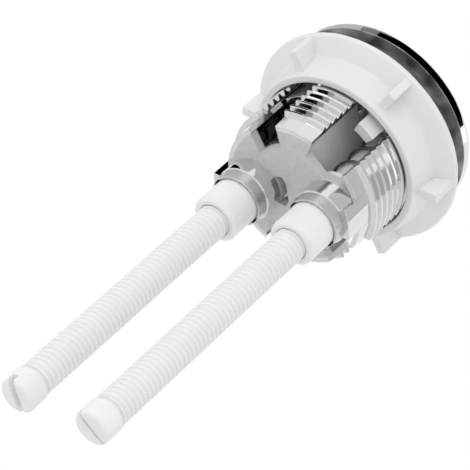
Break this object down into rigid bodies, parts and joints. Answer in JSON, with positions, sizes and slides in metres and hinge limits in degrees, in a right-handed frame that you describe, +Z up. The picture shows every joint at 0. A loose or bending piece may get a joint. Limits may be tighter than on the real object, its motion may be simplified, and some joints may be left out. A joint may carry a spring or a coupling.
{
  "type": "push button cistern actuator",
  "caption": "Dual flush push button for a cistern lid: chrome bezel and caps on a slotted threaded barrel, white ribbed lock nut and long white adjustable push rods.",
  "frame": {"origin": "on the barrel's axis, at the plane of the bezel's underside, which rests on the cistern lid", "axes": "+Z up along the barrel's axis, out of the cistern towards the caps; the push rods stand on the X axis, the full flush one at -X and the half flush one at +X"},
  "size_m": [0.0528, 0.0528, 0.119],
  "materials": {
    "chrome": "bright chrome plate on moulded plastic",
    "white_plastic": "satin moulded white plastic",
    "spring_steel": "drawn spring wire"
  },
  "bodies": {
    "housing": {"housing": "chrome", "full_flush_spring": "spring_steel", "half_flush_spring": "spring_steel"},
    "lock_nut": {"lock_nut": "white_plastic"},
    "full_flush": {"full_flush_button": "chrome", "full_flush_plunger": "white_plastic"},
    "half_flush": {"half_flush_button": "chrome", "half_flush_plunger": "white_plastic"},
    "full_flush_rod": {"full_flush_rod": "white_plastic"},
    "half_flush_rod": {"half_flush_rod": "white_plastic"}
  },
  "joints": [
    {"name": "lock_nut_thread", "type": "slide", "parent": "housing", "child": "lock_nut", "axis": [0, 0, 1], "range_m": [-0.012, 0.0055]},
    {"name": "full_flush_press", "type": "slide", "parent": "housing", "child": "full_flush", "axis": [0, 0, 1], "range_m": [-0.006, 0], "stiffness_N_per_m": 250, "springref_m": 0.012, "deforming": ["full_flush_spring"]},
    {"name": "half_flush_press", "type": "slide", "parent": "housing", "child": "half_flush", "axis": [0, 0, 1], "range_m": [-0.006, 0], "stiffness_N_per_m": 250, "springref_m": 0.012, "deforming": ["half_flush_spring"]},
    {"name": "full_flush_rod_thread", "type": "slide", "parent": "full_flush", "child": "full_flush_rod", "axis": [0, 0, 1], "range_m": [-0.008, 0.02]},
    {"name": "half_flush_rod_thread", "type": "slide", "parent": "half_flush", "child": "half_flush_rod", "axis": [0, 0, 1], "range_m": [-0.008, 0.02]}
  ]
}
